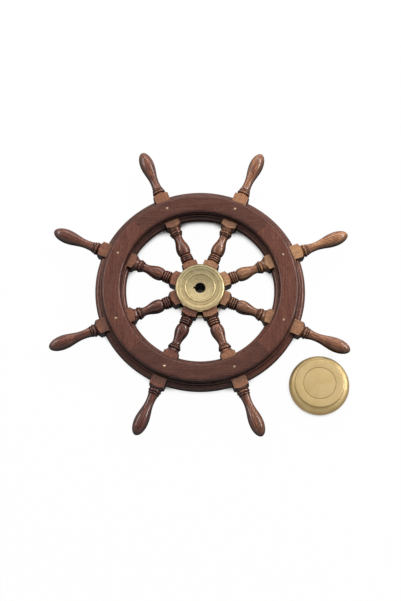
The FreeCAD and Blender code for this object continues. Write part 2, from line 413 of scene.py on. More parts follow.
def ramp(tree: Tree, factor: Socket,
         stops: Sequence[tuple[float, Any]]) -> Socket:
    """A colour ramp over a factor.

    Args:
        tree: The node tree.
        factor: What the ramp reads.
        stops: Positions from 0 to 1, each with an sRGB hex colour or a grey level.

    Returns:
        The ramp's colour socket.
    """
    node = add_node(tree, "ShaderNodeValToRGB", {"Fac": factor})
    elements = node.color_ramp.elements
    for i, (position, colour) in enumerate(stops):
        element = elements[i] if i < 2 else elements.new(position)
        element.position = position
        element.color = linear(colour) if isinstance(colour, str) else (colour, colour, colour, 1.0)
    return node.outputs["Color"]


def shader_tree(name: str) -> tuple[bpy.types.Material, Tree, bpy.types.Node]:
    """A new material with only a Principled BSDF and its output.

    Args:
        name: The material's name.

    Returns:
        The material, its node tree and the Principled BSDF.
    """
    material = bpy.data.materials.new(name)
    material.use_nodes = True
    tree = material.node_tree
    tree.nodes.clear()
    shader = add_node(tree, "ShaderNodeBsdfPrincipled")
    add_node(tree, "ShaderNodeOutputMaterial", {"Surface": shader.outputs["BSDF"]})
    return material, tree, shader


def on_sides(tree: Tree, lean: Point) -> Socket:
    """One on faces that stand upright on the wheel and nothing on those that lie level with it.

    Args:
        tree: The material's node tree.
        lean: How far the normal leans along the axis on faces that count in full, and on those that don't.

    Returns:
        A level from 0 to 1.
    """
    normal = add_node(tree, "ShaderNodeTexCoord").outputs["Normal"]
    up = add_node(tree, "ShaderNodeSeparateXYZ", {0: normal}).outputs[2]
    return mapped(tree, calc(tree, "ABSOLUTE", up), lean, (1.0, 0.0))


@dataclass(frozen=True)
class Marks:
    """Noise drawn out along the grain, as marks of a length and width in millimetres."""

    length: float
    width: float
    detail: float = 0.0
    waver: float = 0.0
    roughness: float = 0.55

    def level(self, tree: Tree, blank: Socket) -> Socket:
        """Makes the marks.

        Args:
            tree: The material's node tree.
            blank: Coordinates in the blank, X along the grain.

        Returns:
            A level from 0 to 1.
        """
        scale = (1 / (self.length * MM), 1 / (self.width * MM), 1 / (self.width * MM))
        stretched = add_node(tree, "ShaderNodeMapping", {"Vector": blank, "Scale": scale}).outputs["Vector"]
        return add_node(tree, "ShaderNodeTexNoise", {
            "Vector": stretched, "Scale": 1.0, "Detail": self.detail, "Roughness": self.roughness,
            "Distortion": self.waver,
        }).outputs["Fac"]


@dataclass(frozen=True)
class Varnished:
    """Open-grained hardwood under satin varnish: long figure, fine streaks, dark pores, painted shade in the
    hollows.
    """

    name: str
    dark: str
    middle: str
    light: str
    pore: str
    # Colour of the painted shade in the hollows, the grooves and on upright sides
    hollow: str
    figure: Marks = Marks(95.0, 8.5, 3.0, 1.4)
    streaks: Marks = Marks(46.0, 1.5, 2.0, 0.6)
    pores: Marks = Marks(7.0, 0.42)
    streak_share: float = 0.5
    contrast: float = 0.16
    pore_level: Point = (0.6, 0.7)
    hollow_reach: float = 3.0
    hollow_level: Point = (0.25, 0.8)
    # Painted side shade is full up to the first lean of the normal along the axis and gone from the second
    upright: float = 0.25
    unshaded_lean: float = 0.8
    painted_side_shade: float = 0.88
    # Painted shade in narrow grooves: their places along the blank, half width, depth and the blank's reach
    grooves: tuple[float, ...] = ()
    groove_half: float = 1.3
    groove_shade_depth: float = 1.5
    groove_reach: float = 300.0
    darkening_along: tuple[float, ...] = ()
    deep_tint: str = "#c4ced9"
    board_length: float = 270.0
    flat: float = 0.0
    flat_edge: Point = (0.35, 0.1)
    flat_share: float = 0.6
    flat_tone: str = "#ffffff"
    uneven: Point = (0.3, 0.7)
    bare_roughness: Point = (0.5, 0.36)
    relief: float = 0.06
    relief_strength: float = 0.35
    coat: float = 0.45
    coat_roughness: float = 0.13
    coat_ior: float = 1.62

    def material(self, piece: str, turn: float, shift: Sequence[float]) -> bpy.types.Material:
        """Makes the finish for one blank, with the grain laid along it.

        Args:
            piece: The piece that is cut from the blank.
            turn: Direction of the grain in the XY plane, in degrees.
            shift: Where in the tree the blank was cut, in millimetres.

        Returns:
            The material.
        """
        material, tree, shader = shader_tree(f"{self.name}, {piece}")
        place_in_frame = add_node(tree, "ShaderNodeTexCoord").outputs["Object"]
        along = add_node(tree, "ShaderNodeMapping", {
            "Vector": place_in_frame, "Rotation": (0, 0, -math.radians(turn)),
        }).outputs["Vector"]
        blank = add_node(tree, "ShaderNodeMapping", {
            "Vector": along, "Location": [s * MM for s in shift],
        }).outputs["Vector"]
        kinds = (self.figure, self.streaks, self.pores)
        figure, streaks, pores = (marks.level(tree, blank) for marks in kinds)
        # The slow figure and the fine streaks together pick the colour of each fibre
        fibre = add_node(tree, "ShaderNodeMix", {0: self.streak_share, 2: figure, 3: streaks}).outputs[0]
        tones = [(0.5 - self.contrast, self.dark), (0.5, self.middle), (0.5 + self.contrast, self.light)]
        wood = self.darkened_along(tree, ramp(tree, fibre, tones), along)
        # Pores are short dark dashes, filled with varnish
        open_pores = ramp(tree, pores, list(zip(self.pore_level, (0.0, 1.0))))
        wood = mixed(tree, open_pores, wood, linear(self.pore))
        # Painted shade, with some stain that gathers there, darkens the hollows between beads and under the
        # rim
        hollows = ramp(tree, openness(tree, self.hollow_reach), list(zip(self.hollow_level, (1.0, 0.0))))
        # Painted shade darkens the upright sides
        sides = calc(tree, "MULTIPLY", on_sides(tree, (self.upright, self.unshaded_lean)), self.painted_side_shade)
        # One mask of painted shade: the hollows, the upright sides and, below, the grooves
        kept = calc(tree, "MAXIMUM", hollows, sides)
        # Painted shade also lies in the narrow grooves between beads
        if self.grooves:
            kept = calc(tree, "MAXIMUM", kept, self.painted_groove_shade(tree, along))
        tree.links.new(mixed(tree, kept, wood, linear(self.hollow)), shader.inputs["Base Color"])
        gloss = mapped(tree, streaks, self.uneven, self.bare_roughness)
        tree.links.new(gloss, shader.inputs["Roughness"])
        bump = add_node(tree, "ShaderNodeBump", {
            "Strength": self.relief_strength, "Distance": self.relief * MM,
            "Height": calc(tree, "SUBTRACT", streaks, open_pores),
        })
        tree.links.new(bump.outputs["Normal"], shader.inputs["Normal"])
        # The varnish does the shining; the painted-shade mask dulls it in hollows, grooves and on upright
        # sides
        tree.links.new(mapped(tree, kept, (0.0, 1.0), (self.coat, 0.0)), shader.inputs["Coat Weight"])
        shader.inputs["Specular IOR Level"].default_value = 0.0
        shader.inputs["Coat Roughness"].default_value = self.coat_roughness
        shader.inputs["Coat IOR"].default_value = self.coat_ior
        return material

    def painted_groove_shade(self, tree: Tree, along: Socket) -> Socket:
        """Marks the narrow grooves between beads, for painted shade.

        Args:
            tree: The material's node tree.
            along: Coordinates in the blank, X along the grain, from the wheel's centre.

        Returns:
            A level from 0 to 1.
        """
        parts = add_node(tree, "ShaderNodeSeparateXYZ", {0: along})
        share = mapped(tree, parts.outputs[0], (0.0, self.groove_reach * MM))
        stops = [(0.0, 0.0), (1.0, 0.0)]
        for x in self.grooves:
            marks = ((x - self.groove_half, 0.0), (x, self.groove_shade_depth), (x + self.groove_half, 0.0))
            stops += [(at / self.groove_reach, level) for at, level in marks]
        return ramp(tree, share, stops)

    def darkened_along(self, tree: Tree, wood: Socket,
                along: Socket) -> Socket:
        """Darkens the wood by a share that changes along a board, and pales it on a blank's flats.

        Args:
            tree: The material's node tree.
            wood: The bare wood's colour.
            along: Coordinates in the blank, X along the grain, from the wheel's centre.

        Returns:
            The wood's colour after both.
        """
        parts = add_node(tree, "ShaderNodeSeparateXYZ", {0: along})
        if self.darkening_along:
            half = self.board_length / 2 * MM
            last = len(self.darkening_along) - 1
            stops = [(i / last, blend("#ffffff", self.deep_tint, deep))
                     for i, deep in enumerate(self.darkening_along)]
            tint = ramp(tree, mapped(tree, parts.outputs[0], (-half, half)), stops)
            wood = mixed(tree, 1.0, wood, tint, "MULTIPLY")
        if self.flat:
            across, up = (calc(tree, "ABSOLUTE", parts.outputs[i]) for i in (1, 2))
            edge = ((self.flat - self.flat_edge[0]) * MM, (self.flat - self.flat_edge[1]) * MM)
            on_flat = mapped(tree, calc(tree, "MAXIMUM", across, up), edge, (0.0, self.flat_share))
            wood = mixed(tree, on_flat, wood, linear(self.flat_tone))
        return wood


@dataclass(frozen=True)
class Brass:
    """Brass with fine lines left by turning, faintly uneven, brown film where polish misses, and painted
    shade.
    """

    name: str
    bright: str
    dull: str
    film: str
    roughness: float
    wear: Point = (0.07, -0.05)
    uneven: Point = (0.3, 0.7)
    line_pitch: float = 0.35
    line_depth: float = 0.004
    line_strength: float = 0.6
    noise_roughness: float = 0.6
    patch: float = 9.0
    patch_level: Point = (0.36, 0.62)
    film_reach: float = 5.0
    film_level: Point = (0.3, 0.85)
    film_strength: float = 0.8
    upright: Point = (0.45, 0.96)
    side_shade_film: float = 0.0
    bore_shade: str = "#15130f"
    bore_shade_edge: float = 0.4
    black_within: float = 0.0
    scribed: float = 0.0
    scribe_edge: Point = (0.3, 0.75)
    scribe_film_and_shade: float = 0.7
    polish: tuple[Point, ...] = ()
    polish_reach: float = 50.0
    missed_film_and_shade: float = 0.45
    far_side_shade: str = "#ffffff"
    far_reach: float = 40.0
    axis: Point = (0.0, 0.0)

    def noise(self, tree: Tree, vector: Socket, size: float,
              detail: float) -> Socket:
        """Uneven marks of one size, in millimetres."""
        return add_node(tree, "ShaderNodeTexNoise", {
            "Vector": vector, "Scale": 1 / (size * MM), "Detail": detail, "Roughness": self.noise_roughness,
        }).outputs["Fac"]

    def material(self) -> bpy.types.Material:
        """Makes the finish, with its turning lines round the axis.

        Returns:
            The material.
        """
        material, tree, shader = shader_tree(self.name)
        film = linear(self.film)
        centred = add_node(tree, "ShaderNodeMapping", {
            "Vector": add_node(tree, "ShaderNodeTexCoord").outputs["Object"],
            "Location": (-self.axis[0] * MM, -self.axis[1] * MM, 0),
        }).outputs["Vector"]
        # Tool marks are rings round the axis, so they depend on the radius and the height alone
        parts = add_node(tree, "ShaderNodeSeparateXYZ", {0: centred})
        flat = add_node(tree, "ShaderNodeCombineXYZ", {0: parts.outputs[0], 1: parts.outputs[1]})
        length = add_node(tree, "ShaderNodeVectorMath", {0: flat.outputs[0]}, operation="LENGTH")
        radius = length.outputs["Value"]
        ring = add_node(tree, "ShaderNodeCombineXYZ", {0: radius, 2: parts.outputs[2]}).outputs[0]
        lines = self.noise(tree, ring, self.line_pitch, 2.0)
        patches = self.noise(tree, centred, self.patch, 4.0)
        metal = ramp(tree, patches, list(zip(self.patch_level, (self.dull, self.bright))))
        if self.polish:
            # A cloth reaches the raised rings and leaves the floors between them duller
            # The narrow dark rings at the bead's feet and on the step walls are partly film, partly painted
            # shade
            share = mapped(tree, radius, (0.0, self.polish_reach * MM))
            rubbed = ramp(tree, share, [(r / self.polish_reach, level) for r, level in self.polish])
            metal = mixed(tree, mapped(tree, rubbed, (0.0, 1.0), (self.missed_film_and_shade, 0.0)), metal, film)
        left = list(zip(self.film_level, (self.film_strength, 0.0)))
        kept = ramp(tree, openness(tree, self.film_reach), left)
        metal = mixed(tree, kept, metal, film)
        # Painted shade darkens the upright sides with the film's colour
        sides = calc(tree, "MULTIPLY", on_sides(tree, self.upright), self.side_shade_film)
        metal = mixed(tree, sides, metal, film)
        # Painted shade: the half towards +Y, away from the camera, is a little greyer
        far = mapped(tree, parts.outputs[1], (-self.far_reach * MM, self.far_reach * MM))
        metal = mixed(tree, 1.0, metal, ramp(tree, far, [(0.0, "#ffffff"), (1.0, self.far_side_shade)]), "MULTIPLY")
        # Painted shade: the bore is painted near-black, as the deep unlit hole
        edge = (self.black_within * MM, (self.black_within + self.bore_shade_edge) * MM)
        metal = mixed(tree, mapped(tree, radius, edge, (1.0, 0.0)), metal, linear(self.bore_shade))
        # A scribed line holds old polish, and is painted darker for the groove's shade
        beside = calc(tree, "ABSOLUTE", calc(tree, "SUBTRACT", radius, self.scribed * MM))
        edge = (self.scribe_edge[0] * MM, self.scribe_edge[1] * MM)
        metal = mixed(tree, mapped(tree, beside, edge, (self.scribe_film_and_shade, 0.0)), metal, film)
        tree.links.new(metal, shader.inputs["Base Color"])
        worn = (self.roughness + self.wear[0], self.roughness + self.wear[1])
        tree.links.new(mapped(tree, patches, self.uneven, worn), shader.inputs["Roughness"])
        bump = add_node(tree, "ShaderNodeBump", {
            "Strength": self.line_strength, "Distance": self.line_depth * MM, "Height": lines,
        })
        tree.links.new(bump.outputs["Normal"], shader.inputs["Normal"])
        shader.inputs["Metallic"].default_value = 1.0
        return material


# Red-brown mahogany of the rim: quiet straight grain, deep in colour
RIM_WOOD = Varnished("varnished mahogany", "#67392c", "#7b4737", "#905a46", "#38201c", "#160c0b",
                     streak_share=0.65)
# The spokes were turned from paler wood, and the stain took on each blank differently
# The right-hand blanks are also set paler and those at the lower left deeper, as painted light
SPOKE_WOOD = Varnished("varnished pale hardwood", "#401c15", "#612e22", "#8a4836", "#2a1512", "#120a08",
                       figure=Marks(70.0, 6.0, 3.0, 1.4), coat=0.85, coat_roughness=0.2, hollow_reach=4.0,
                       flat=14.0, contrast=0.09, unshaded_lean=0.9)
# Palest blanks, least stain and most painted light: dark, middle and light tones, pores, flats deep to pale
THIN_STAIN = ("#8a5236", "#b4784f", "#dca474")
THIN_PORE = "#8a5c40"
FLAT_TONES = ("#8e5238", "#d8a472")
# Cast brass, machined and lightly brushed: pale, with its rings rubbed bright and its floors duller
# Painted shade blackens the bore, greys the far half and partly darkens the feet of the rings
HUB_BRASS = Brass("machined cast brass", "#f3dba8", "#dcc492", "#40361f", 0.38, black_within=9.7,
                  far_side_shade="#d0d6d8",
                  polish=((0.0, 0.7), (50.0, 0.75), (12.0, 0.75), (24.0, 0.6), (25.6, 0.0), (26.4, 1.0),
                          (28.4, 1.0), (29.4, 0.0), (31.0, 0.6), (34.0, 0.45), (35.8, 0.1), (36.8, 1.0),
                          (39.0, 1.0), (39.9, 0.0), (40.8, 0.7), (43.0, 0.55)))
# Spun brass sheet with a satin polish: softer and more even in its reflections than the casting
# Its upright sides and its scribed line get painted shade
CAP_BRASS = Brass("spun satin brass", "#d2ba8a", "#c9b07d", "#6b5229", 0.55, scribed=29.6, side_shade_film=0.55,
                  line_pitch=0.25, line_depth=0.001, patch=30.0, film_strength=0.5)
# Small screws with bright heads
SCREW_BRASS = Brass("bright brass screws", "#d9c0a0", "#c0a583", "#3a2c18", 0.3, film_reach=1.0, patch=2.0)


# Wood

def board(deep: float) -> Varnished:
    """A board of the rim's wood, darkened all along by this share."""
    return replace(RIM_WOOD, darkening_along=(deep, deep))


@dataclass
class Spokes:
    """Eight spokes with their handles, each turned from a square blank."""

    count: int = 8
    first_angle: float = 22.5
    tip: float = 300.0
    stock: float = 28.0
    edge: float = 0.6
    root_end: float = 55.0
    rim_start: float = 134.6
    rim_end: float = 202.2
    groove: float = 10.5
    short_shoulder: float = 6.0
    short_hollow: float = 1.0
    long_shoulder: float = 10.0
    long_hollow: float = 2.2
    bead: float = 12.3
    bead_width: float = 5.8
    root_beads: tuple[float, ...] = (12.2, 12.1, 11.6)
    root_bead_width: float = 4.2
    collar: float = 10.8
    collar_width: float = 3.4
    collar_step: float = 0.5
    vase_foot: float = 9.3
    vase_foot_width: float = 1.3
    vase_belly: float = 12.9
    vase_belly_run: float = 11.0
    vase_neck: float = 8.1
    vase_neck_run: float = 6.5
    handle_neck: float = 8.1
    handle_neck_run: float = 15.0
    handle_belly: float = 13.4
    handle_belly_run: float = 27.0
    sleeve_hole: float = 17.15
    curve_lead: float = 0.37
    neck_lead: float = 0.4
    vase_lift: float = 0.7
    quarter_lead: float = 0.5523
    softness: float = 0.35
    grain_shift: tuple[float, ...] = (41.0, 17.0, 23.0)
    # How pale each blank is: its own stain, with the right-hand spokes set paler as painted light
    thin_stain_and_light: tuple[float, ...] = (1.0, 0.7, 0.35, 0.25, 0.2, 0.05, 0.5, 0.7)
    # How much darker each spoke is towards the hub, fading out halfway to the tip
    root_darkening: tuple[float, ...] = (0.8, 0.9, 0.0, 0.0, 0.8, 0.0, 0.1, 1.0)

    def outline(self) -> Outline:
        """The turned outline along +X, from the hub's centre to the tip."""
        corner = self.stock / 2 * math.sqrt(2) + self.edge
        line = Outline(0, 0).line(0, corner).line(self.root_end, corner)
        x = self.root_end + self.short_shoulder
        line.arc(x, self.groove, -self.short_hollow)
        for radius in self.root_beads:
            x += self.root_bead_width
            line.arc(x, self.groove, radius - self.groove)
        x += self.vase_foot_width
        line.line(x, self.vase_foot)
        belly = x + self.vase_belly_run
        lead_out = (self.vase_foot_width / 2, self.vase_lift * (self.vase_belly - self.vase_foot))
        line.curve(belly, self.vase_belly, lead_out, (-self.neck_lead * self.vase_belly_run, 0))
        bead_end = self.rim_start - self.long_shoulder
        collar = bead_end - self.bead_width - self.collar_width / 2
        neck = collar - self.vase_neck_run
        reach = self.curve_lead * (neck - belly)
        line.curve(neck, self.vase_neck, (reach, 0), (-reach, 0), steps=22)
        rise = self.collar - self.vase_neck
        line.curve(collar, self.collar, (self.vase_neck_run / 2, 0), (-rise / 2, -rise / 2), steps=8)
        line.line(collar + self.collar_width / 2 - self.collar_step, self.collar)
        line.line(bead_end - self.bead_width, self.groove)
        line.arc(bead_end, self.groove, self.bead - self.groove)
        line.arc(self.rim_start, corner, -self.long_hollow).line(self.rim_end, corner)
        return self.handle(line)

    def handle(self, line: Outline) -> Outline:
        """Adds the handle to an outline that has come to the rim's outer side, and returns the outline."""
        x = self.rim_end + self.short_shoulder
        line.arc(x, self.groove, -self.short_hollow)
        x += self.bead_width
        line.arc(x, self.groove, self.bead - self.groove)
        x += self.collar_step
        foot = self.groove - self.collar_step
        line.line(x, foot)
        x += self.collar_width
        line.arc(x, foot, self.collar - foot, steps=6)
        neck = x + self.handle_neck_run
        sweep = foot - self.handle_neck
        lead_in = (-self.neck_lead * self.handle_neck_run, 0)
        line.curve(neck, self.handle_neck, (sweep, -sweep / 2), lead_in, steps=12)
        belly = self.tip - self.handle_belly_run
        reach = self.curve_lead * (belly - neck)
        line.curve(belly, self.handle_belly, (reach, 0), (-reach, 0), steps=22)
        lead_out = (self.quarter_lead * self.handle_belly_run, 0)
        return line.curve(self.tip, 0, lead_out, (0, self.quarter_lead * self.handle_belly))

    def one(self) -> Piece:
        """Models one spoke along +X.

        Returns:
            The spoke: turned, squared to its blank, mitred at its root and hollowed for the hub's sleeve.
        """
        spoke = turned("spoke", self.outline().softened(self.softness, closed=False), AXIS_X, steps=72)
        long = self.tip + self.stock
        blank = bar((long, self.stock, self.stock), (long / 2, 0, 0), self.edge)
        boolean(spoke, blank, "INTERSECT")
        half = math.radians(180.0 / self.count)
        for side in (1, -1):
            with editing(spoke):
                bpy.ops.mesh.bisect(plane_co=(0, 0, 0), plane_no=(-math.sin(half), side * math.cos(half), 0),
                                    use_fill=True, clear_outer=True)
        boolean(spoke, rod(self.sleeve_hole, -self.stock, self.stock), "DIFFERENCE")
        smooth(spoke)
        return spoke

    def build(self) -> None:
        """Models the spoke once and sets a copy, with its own grain, at each place."""
        pattern = self.one()
        for i in range(self.count):
            angle = self.first_angle + i * 360.0 / self.count
            name = f"spoke_{i + 1}"
            piece = copied(pattern, f"turned_{name}", angle)
            shift = [step * i for step in self.grain_shift]
            grain = self.blank(i).material(name.replace("_", " "), angle, shift)
            place(piece, grain, "spoke_wood", name)
        bpy.data.objects.remove(pattern)

    def blank(self, i: int) -> Varnished:
        """The blank that a spoke is turned from, paler by its share: partly less stain, partly painted light.
        """
        share = self.thin_stain_and_light[i]
        deep_stain = (SPOKE_WOOD.dark, SPOKE_WOOD.middle, SPOKE_WOOD.light)
        dark, middle, light = (blend(deep, thin, share) for deep, thin in zip(deep_stain, THIN_STAIN))
        pore = blend(SPOKE_WOOD.pore, THIN_PORE, share)
        return replace(SPOKE_WOOD, dark=dark, middle=middle, light=light, pore=pore,
                       flat_tone=blend(*FLAT_TONES, share), grooves=self.grooves(),
                       darkening_along=(0.0, 0.0, self.root_darkening[i], 0.0, 0.0), board_length=2 * self.tip)

    def grooves(self) -> tuple[float, ...]:
        """Where the spoke has a groove between two beads, or beside one."""
        root = self.root_end + self.short_shoulder
        rim = self.rim_start - self.long_shoulder
        grip = self.rim_end + self.short_shoulder
        bead_end = grip + self.bead_width
        at_root = [root + i * self.root_bead_width for i in range(len(self.root_beads) + 1)]
        at_rim = [rim - self.bead_width - self.collar_width, rim - self.bead_width, rim]
        return (*at_root, *at_rim, grip, bead_end, bead_end + self.collar_step + self.collar_width)


@dataclass
class Rings:
    """Front and back rings of the rim, four quadrants each, with a quarter round and a step on both edges."""

    inner: float = 146.2
    outer: float = 184.0
    low: float = 14.0
    thickness: float = 12.0
    step_width: float = 1.1
    step_height: float = 5.4
    quirk: float = 0.7
    quadrants: int = 4
    front_joint: float = 45.0
    back_joint: float = 90.0
    joint_gap: float = 0.02
    softness: float = 0.3
    screw_circle: float = 166.8
    screw_offset: float = 22.5
    screw_hole: float = 2.35
    screw_hole_depth: float = 1.6
    grain_shift: tuple[float, ...] = (57.0, 31.0, 40.0)
    # Each board's darkening: stain from board to board, with the top and bottom boards set deeper as painted
    # shade
    stain: tuple[float, ...] = (0.8, 0.3, 0.8, 0.2)

    def section(self) -> list[Point]:
        """The ring's section, rounded at its edges."""
        face = self.low + self.thickness
        step = self.low + self.step_height
        ovolo = self.thickness - self.step_height - self.quirk
        swell = ovolo * QUARTER_SWELL
        left, right = self.inner + self.step_width, self.outer - self.step_width
        line = Outline(left + ovolo, face).line(right - ovolo, face)
        line.arc(right, step + self.quirk, swell).line(right, step).line(self.outer, step)
        line.line(self.outer, self.low).line(self.inner, self.low).line(self.inner, step)
        line.line(left, step).line(left, step + self.quirk).arc(left + ovolo, face, swell)
        line.points.pop()
        points = line.softened(self.softness, closed=True)
        return points + points[:1]

    def quadrant(self) -> Piece:
        """Models one quadrant of the front ring, from +X on, with the mouths of its screw holes.

        Returns:
            The quadrant.
        """
        sweep = 360.0 / self.quadrants - self.joint_gap
        piece = turned("quadrant", self.section(), AXIS_Z, steps=72, angle=sweep)
        face = self.low + self.thickness
        for i in (1, 3):
            angle = math.radians(self.screw_offset * i)
            centre = (self.screw_circle * math.cos(angle), self.screw_circle * math.sin(angle))
            mouth = rod(self.screw_hole, face - self.screw_hole_depth, face + 1.0, centre, sides=32)
            boolean(piece, mouth, "DIFFERENCE")
        smooth(piece)
        return piece

    def build(self) -> None:
        """Sets four quadrants on the front and four on the back, each cut from its own board."""
        pattern = self.quadrant()
        sweep = 360.0 / self.quadrants
        for side in Side:
            for i in range(self.quadrants):
                front = side is Side.FRONT
                start = (self.front_joint if front else self.back_joint) + i * sweep
                name = f"{'front' if front else 'back'}_ring_{i + 1}"
                piece = copied(pattern, f"moulded_{name}", start if front else start + sweep, over=not front)
                along, across, through = self.grain_shift
                shift = (along * i, across * i, side.value * through)
                grain = board(self.stain[i]).material(name.replace("_", " "), start + sweep / 2 + 90.0, shift)
                place(piece, grain, "rim_wood", name)
        bpy.data.objects.remove(pattern)


@dataclass
class Felloes:
    """The rim's middle layer: a felloe between each two spokes, with a half round and two beads a side."""

    count: int = 8
    first_angle: float = 22.5
    inner: float = 138.0
    outer: float = 195.8
    ring_inner: float = 146.2
    ring_outer: float = 184.0
    ledge: float = 0.8
    half_depth: float = 14.0
    half_round: float = 8.4
    bead: float = 2.2
    softness: float = 0.3
    grain_shift: tuple[float, ...] = (29.0, 13.0, 0.0)
    # Each board's darkening: stain from board to board, with the top and bottom boards set deeper as painted
    # shade
    stain: tuple[float, ...] = (0.5, 0.9, 0.9, 0.0, 0.5, 0.9, 0.0, 0.0)

    def section(self) -> list[Point]:
        """The felloe's section, mirrored about its mid depth."""
        low, high = self.ring_inner - self.ledge, self.ring_outer + self.ledge
        foot = self.half_depth - 2 * self.bead
        spring_out, spring_in = self.outer - self.half_round, self.inner + self.half_round
        line = Outline(low, self.half_depth).line(high, self.half_depth)
        line.arc(high, foot, self.bead).line(high, self.half_round).line(spring_out, self.half_round)
        line.arc(spring_out, -self.half_round, self.half_round, steps=18).line(high, -self.half_round)
        line.line(high, -foot).arc(high, -self.half_depth, self.bead)
        line.line(low, -self.half_depth).arc(low, -foot, self.bead).line(low, -self.half_round)
        line.line(spring_in, -self.half_round).arc(spring_in, self.half_round, self.half_round, steps=18)
        line.line(low, self.half_round).line(low, foot).arc(low, self.half_depth, self.bead)
        line.points.pop()
        points = line.softened(self.softness, closed=True, least_turn=40.0)
        return points + points[:1]

    def build(self) -> None:
        """Models one felloe from +X on, cuts both ends square to the spokes, and copies it round."""
        pitch = 360.0 / self.count
        pattern = turned("felloe", self.section(), AXIS_Z, steps=40, angle=pitch)
        for angle, side in ((0.0, 1), (math.radians(pitch), -1)):
            normal = Vector((-math.sin(angle), math.cos(angle), 0)) * side
            with editing(pattern):
                bpy.ops.mesh.bisect(plane_co=normal * self.half_depth * MM, plane_no=normal,
                                    use_fill=True, clear_inner=True)
        smooth(pattern)
        for i in range(self.count):
            start = self.first_angle + i * pitch
            name = f"felloe_{i + 1}"
            piece = copied(pattern, f"moulded_{name}", start)
            shift = [step * i for step in self.grain_shift]
            grain = board(self.stain[i]).material(name.replace("_", " "), start + pitch / 2 + 90.0, shift)
            place(piece, grain, "rim_wood", name)
        bpy.data.objects.remove(pattern)


# Brass

@dataclass
class Hub:
    """Front flange with its sleeve, back plate, and the keyed bore through both."""

    bore: float = 9.525
    bore_edge: float = 1.2
    key_width: float = 4.76
    key_depth: float = 3.0
    sleeve: float = 17.0
    sleeve_hole: float = 17.15
    sleeve_low: float = -23.0
    seat: float = 14.0
    radius: float = 46.0
    edge: float = 2.8
    lip_inner: float = 39.8
    lip_height: float = 6.8
    lip_swell: float = 1.5
    band_inner: float = 36.2
    band_height: float = 6.1
    recess: float = 34.2
    recess_height: float = 3.8
    bead: float = 27.5
    bead_width: float = 2.8
    bead_rise: float = 1.2
    dish_height: float = 2.2
    plate_low: float = -22.0
    plate_round: float = 4.0
    screw_count: int = 8
    first_screw: float = 22.5
    screw_circle: float = 40.0
    screw_hole: float = 4.35
    screw_hole_depth: float = 1.5
    softness: float = 0.25

    def flange(self) -> Piece:
        """Models the flange and its sleeve.

        Returns:
            The flange, bored and with its keyway towards -X.
        """
        top = self.seat + self.dish_height
        floor = self.seat + self.recess_height
        line = Outline(self.bore, top - self.bore_edge).line(self.bore + self.bore_edge, top)
        line.line(self.bead - self.bead_width / 2, floor)
        line.arc(self.bead + self.bead_width / 2, floor, self.bead_rise).line(self.recess, floor)
        line.line(self.band_inner, self.seat + self.band_height)
        line.line(self.lip_inner, self.seat + self.band_height)
        line.line(self.lip_inner, self.seat + self.lip_height)
        line.arc(self.radius, self.seat + self.edge, self.lip_swell, steps=12).line(self.radius, self.seat)
        line.line(self.sleeve, self.seat).line(self.sleeve, self.sleeve_low + self.bore_edge)
        line.line(self.sleeve - self.bore_edge, self.sleeve_low)
        line.line(self.bore + self.bore_edge, self.sleeve_low)
        line.line(self.bore, self.sleeve_low + self.bore_edge)
        points = line.softened(self.softness, closed=True)
        flange = turned("cast_hub_flange", points + points[:1], AXIS_Z, steps=128)
        reach = self.bore + self.key_depth
        depth = top - self.sleeve_low
        slot = bar((reach, self.key_width, depth + 2), (-reach / 2, 0, (top + self.sleeve_low) / 2))
        boolean(flange, slot, "DIFFERENCE")
        return flange

    def back_plate(self) -> Piece:
        """Models the plate behind the spokes.

        Returns:
            The plate, with the mouths of its eight screw holes.
        """
        swell = self.plate_round * QUARTER_SWELL
        line = Outline(self.sleeve_hole, -self.seat).line(self.radius, -self.seat)
        line.line(self.radius, self.plate_low + self.plate_round)
        line.arc(self.radius - self.plate_round, self.plate_low, swell).line(self.sleeve_hole, self.plate_low)
        points = line.softened(self.softness, closed=True)
        plate = turned("cast_hub_back_plate", points + points[:1], AXIS_Z, steps=128)
        for i in range(self.screw_count):
            angle = math.radians(self.first_screw + i * 360.0 / self.screw_count)
            centre = (self.screw_circle * math.cos(angle), self.screw_circle * math.sin(angle))
            top = self.plate_low + self.screw_hole_depth
            boolean(plate, rod(self.screw_hole, self.plate_low - 1, top, centre, sides=32), "DIFFERENCE")
        return plate

    def build(self) -> None:
        """Models both castings and dresses them in the same brass."""
        brass = HUB_BRASS.material()
        for piece, node in ((self.flange(), "hub_flange"), (self.back_plate(), "hub_back_plate")):
            smooth(piece)
            place(piece, brass, "hub_brass", node)


